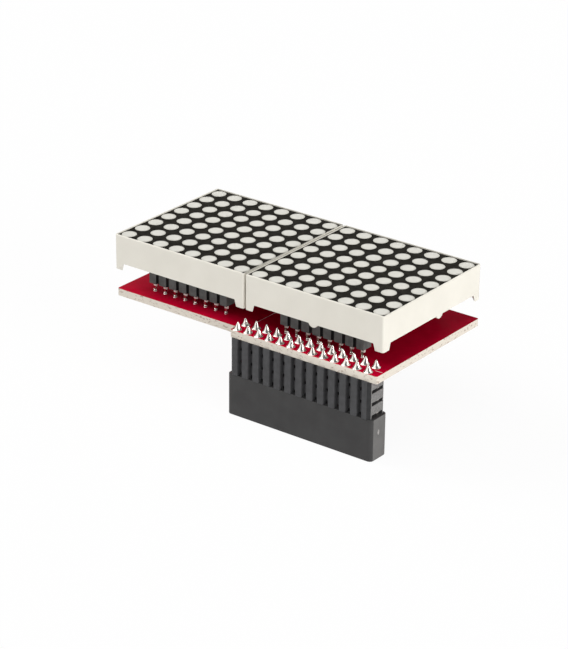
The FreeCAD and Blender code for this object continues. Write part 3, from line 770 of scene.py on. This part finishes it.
def rail_plans():
    """Plans of the rails below a spacer: one for each pin cell and side."""
    end, side, corner, inside = SPACER_END, -SPACER_SIDE, SPACER_CORNER, RAIL_WIDTH - SPACER_SIDE
    narrowed = GROOVE_MOUTH + (GROOVE_FLOOR - GROOVE_MOUTH) * RAIL_WIDTH / GROOVE_DEPTH
    for before, after in zip([None] + GROOVE_X, GROOVE_X + [None]):
        if before is None:
            plan = [(-end, inside), (-end, side + corner), (-end + corner, side)]
        else:
            plan = [(before + narrowed, inside), (before + GROOVE_MOUTH, side)]
        if after is None:
            plan += [(end - corner, side), (end, side + corner), (end, inside)]
        else:
            plan += [(after - GROOVE_MOUTH, side), (after - narrowed, inside)]
        yield plan
        yield [(-x, -y) for x, y in plan]


def paler_ends(shape, end):
    """Give the faces at the two ends of a form its second, paler material: painted light."""
    for face in shape.bm.faces:
        face.material_index = 1 if abs(face.calc_center_median().x) > end - END_SLACK else 0


def darker_corners(shape):
    """Give the bevelled corners of a spacer its third, near-black material: painted shade."""
    corner_slack = 0.04
    bevel = SPACER_END + SPACER_SIDE - SPACER_CORNER - corner_slack
    for face in shape.bm.faces:
        middle = face.calc_center_median()
        at_end = abs(middle.x) > SPACER_END - END_SLACK
        if abs(middle.x) + abs(middle.y) > bevel and not at_end:
            face.material_index = 2


def header_spacer(index):
    """Spacer body over two rows of short rails, so that each groove opens below."""
    node_name = "header_spacer_%d" % index
    (_, _, low), (_, _, high) = corners(node_name)
    channel_top, foot_share = low + CHANNEL_HEIGHT, 0.97
    shape = Shape()
    shape.prism(spacer_outline(), channel_top, high)
    for plan in rail_plans():
        middle = sum(x for x, _ in plan) / len(plan)
        foot = [(middle + (x - middle) * foot_share, y) for x, y in plan]
        shape.prism(foot, low, channel_top, top=plan)
    # Painted light on the spacer's end faces, painted shade on its bevelled corners
    paler_ends(shape, SPACER_END)
    darker_corners(shape)
    mats = ["spacer", "spacer_end", "spacer_bevel"]
    shape.piece("spacer_%d" % index, mats, "spacer_plastic", [node_name])


def socket_block():
    shape = Shape()
    shape.node_copy("header_socket")
    shape.soften(0.1)
    # Painted light: the block's end faces take the paler second material
    paler_ends(shape, BLOCK_END)
    shape.piece("socket_block", ["socket", "socket_end"], "socket_plastic", ["header_socket"])


def gate_mark():
    """Rough oval scar of the moulding gate, on the right end of the socket block."""
    y, z, tall, wide = -0.25, 5.5, 2.1, 1.1
    shape = Shape()
    shape.lathe([(0.26, 0.0), (0.2, 0.03), (0.12, 0.05), (0.0, 0.03)], (0, 0, 0), sides=14, ripple=0.15)
    upright = Matrix.Rotation(math.radians(90), 4, "Y") @ Matrix.Diagonal((tall, wide, 1, 1))
    shape.bm.transform(Matrix.Translation((BLOCK_END, y, z)) @ upright)
    shape.piece("moulding_gate_mark", ["gate"], "socket_plastic", weighted=False)


def header():
    refined("header_pins", "long_pins", "contact", "plated_contact", 0.06, 1)
    for index in (1, 2, 3):
        header_spacer(index)
    socket_block()
    header_solder()
    gate_mark()


# Driver circuit on the underside

def driver_chip():
    """Chip body, widest at its waist, with a shallow dimple that marks its first lead."""
    (x0, y0, low), (x1, y1, high) = corners("driver_chip")
    waist, lower_draft, upper_draft = BOARD_BOTTOM - 1.12, 0.32, 0.28

    def plan(inset):
        left, right, front, rear = x0 + inset, x1 - inset, y0 + inset, y1 - inset
        return [(left, front), (right, front), (right, rear), (left, rear)]

    shape = Shape()
    shape.prism(plan(lower_draft), low, waist, top=plan(0))
    shape.prism(plan(0), waist, high, top=plan(upper_draft))
    dimple = [(0.55, 0.0), (0.53, 0.012), (0.45, 0.012), (0.4, 0.004), (0.0, 0.002)]
    shape.lathe(dimple, (x0 + 1.4, y0 + 1.35, low + 0.01), flip=-1)
    shape.piece("chip_body", ["chip"], "chip_plastic", ["driver_chip"])


def driver_leads():
    """Gull wing leads that stand on small solder fillets."""
    (_, front, _), (_, rear, _) = corners("driver_chip")
    half_width = 0.21
    section = [
        (0.0, -1.25), (0.38, -1.25), (0.5, -1.19), (0.7, -0.3), (0.78, -0.25), (1.2, -0.25),
        (1.2, 0.0), (0.62, 0.0), (0.5, -0.06), (0.3, -0.96), (0.24, -1.0), (0.0, -1.0),
    ]
    joint_out, joint_x, joint_y, joint_height = 0.95, 0.34, 0.5, 0.14
    leads, joints = Shape(), Shape()
    for wall, side in ((front, -1), (rear, 1)):
        outline = [(wall + side * out, BOARD_BOTTOM + up) for out, up in section]
        y = wall + side * joint_out
        for x in LEAD_X:
            leads.section_x(outline, x - half_width, x + half_width)
            joint_low = (x - joint_x, y - joint_y, BOARD_BOTTOM - joint_height)
            joints.box(joint_low, (x + joint_x, y + joint_y, BOARD_BOTTOM))
    leads.piece("chip_leads", ["tin"], "tinned_pin", ["driver_leads"])
    joints.piece("chip_lead_solder", ["solder"], "solder", smooth=60)


def small_part(name, middles, body, node_name, slot):
    """Chip parts in a row, each with plated ends that stand in solder."""
    (_, front, low), (_, rear, _) = corners(node_name)
    y, height = (front + rear) / 2, BOARD_BOTTOM - low
    core_x, core_y, core_top = 0.68, 0.6, BOARD_BOTTOM - 0.02
    cap_start, cap_end, toe_start, toe_end = 0.62, 1.0, 0.98, 1.35
    toe_side, toe_rise, toe_edge = 0.58, height * 0.7, 0.04
    shape = Shape()
    for x in middles:
        shape.box((x - core_x, y - core_y, low), (x + core_x, y + core_y, core_top))
        for side in (-1, 1):
            left, right = sorted((x + side * cap_start, x + side * cap_end))
            shape.box((left, front, low), (right, rear, BOARD_BOTTOM), 1)
            start, end = x + side * toe_start, x + side * toe_end
            toe = [
                (start, BOARD_BOTTOM), (start, BOARD_BOTTOM - toe_rise),
                (end, BOARD_BOTTOM - toe_edge), (end, BOARD_BOTTOM),
            ]
            shape.section_y(toe, y - toe_side, y + toe_side, 2)
    shape.piece(name, [body, "tin", "solder"], slot, [node_name])


def driver_circuit():
    driver_chip()
    driver_leads()
    small_part("capacitor", [CHIP_X], "ceramic", "chip_capacitor", "capacitor_ceramic")
    pair = [CHIP_X - 1.5, CHIP_X + 1.5]
    small_part("resistors", pair, "film", "chip_resistors", "resistor_ceramic")


# Floor, light and camera

def white_for_rays(tree, shaded, white, output, strength):
    """Mix plain white in for camera, glossy and transmission rays, with a strength up to 1."""
    nodes, links = tree.nodes, tree.links
    path = nodes.new("ShaderNodeLightPath")
    share = path.outputs["Is Camera Ray"]
    for kind in ("Is Glossy Ray", "Is Transmission Ray"):
        either = nodes.new("ShaderNodeMath")
        either.operation = "MAXIMUM"
        links.new(share, either.inputs[0])
        links.new(path.outputs[kind], either.inputs[1])
        share = either.outputs[0]
    part = nodes.new("ShaderNodeMath")
    part.operation = "MULTIPLY"
    part.inputs[1].default_value = strength
    links.new(share, part.inputs[0])
    mix = nodes.new("ShaderNodeMixShader")
    links.new(part.outputs[0], mix.inputs[0])
    links.new(shaded.outputs[0], mix.inputs[1])
    links.new(white.outputs[0], mix.inputs[2])
    links.new(mix.outputs[0], output.inputs["Surface"])


def floor():
    """White floor just under the object. Its sizes are in metres."""
    half, low = 1.5, -0.02 * MM
    mesh = bpy.data.meshes.new("floor")
    outline = [(-half, -half, low), (half, -half, low), (half, half, low), (-half, half, low)]
    mesh.from_pydata(outline, [], [(0, 1, 2, 3)])
    obj = bpy.data.objects.new("floor", mesh)
    bpy.context.scene.collection.objects.link(obj)
    mat = new_material("floor_white", (0.9, 0.9, 0.9), rough=1.0, specular=0.0)
    white = node(mat, "ShaderNodeEmission")
    output = mat.node_tree.nodes["Material Output"]
    white_for_rays(mat.node_tree, principled(mat), white, output, strength=0.94)
    mesh.materials.append(mat)


def sky(level):
    """Even white light from all round, seen as plain white."""
    world = bpy.data.worlds.new("studio")
    bpy.context.scene.world = world
    world.use_nodes = True
    tree = world.node_tree
    back = tree.nodes["Background"]
    back.inputs["Color"].default_value = (1, 1, 1, 1)
    back.inputs["Strength"].default_value = level
    white = tree.nodes.new("ShaderNodeBackground")
    white.inputs["Color"].default_value = (1, 1, 1, 1)
    white_for_rays(tree, back, white, tree.nodes["World Output"], strength=1.0)


def lamp(name, towards, strength, angle):
    """Distant soft lamp that shines from a direction. Its strength is in units of pi."""
    light = bpy.data.lights.new(name, "SUN")
    light.energy = strength * math.pi
    light.angle = math.radians(angle)
    obj = bpy.data.objects.new(name, light)
    obj.rotation_mode = "QUATERNION"
    obj.rotation_quaternion = Vector(towards).to_track_quat("Z", "Y")
    bpy.context.scene.collection.objects.link(obj)


def camera():
    """Camera solved from the dots of the two displays."""
    azimuth, elevation, roll = (math.radians(a) for a in (37.099, 24.065, 0.6055))
    target, distance = Vector((5.2036, -13.9625, FACE_TOP)), 440.16
    focal_pixels, picture_pixels, sensor = 2454.06, 649, 36.0
    back = Vector((
        math.sin(azimuth) * math.cos(elevation),
        -math.cos(azimuth) * math.cos(elevation),
        math.sin(elevation),
    ))
    right = Vector((math.cos(azimuth), math.sin(azimuth), 0))
    up = back.cross(right)
    across = math.cos(roll) * right + math.sin(roll) * up
    upward = -math.sin(roll) * right + math.cos(roll) * up
    data = bpy.data.cameras.new("camera")
    data.sensor_width = sensor
    data.lens = focal_pixels * sensor / picture_pixels
    data.clip_start, data.clip_end = 0.01, 20
    obj = bpy.data.objects.new("camera", data)
    turn = Matrix((across, upward, back)).transposed().to_4x4()
    obj.matrix_world = Matrix.Translation((target + back * distance) * MM) @ turn
    bpy.context.scene.collection.objects.link(obj)
    bpy.context.scene.camera = obj


for side in SIDES:
    display(side)
strips()
circuit_board()
board_pads()
board_print()
board_traces()
header()
driver_circuit()
floor()
sky(0.3)
lamp("right", (0.97, -0.12, 0.2), 0.64, 25)
lamp("left", (-0.8, -0.2, 0.58), 0.5, 30)
lamp("top", (0.0, -0.4, 0.92), 0.34, 50)
camera()
bpy.context.scene.view_settings.view_transform = "Standard"

bpy.context.view_layer.update()
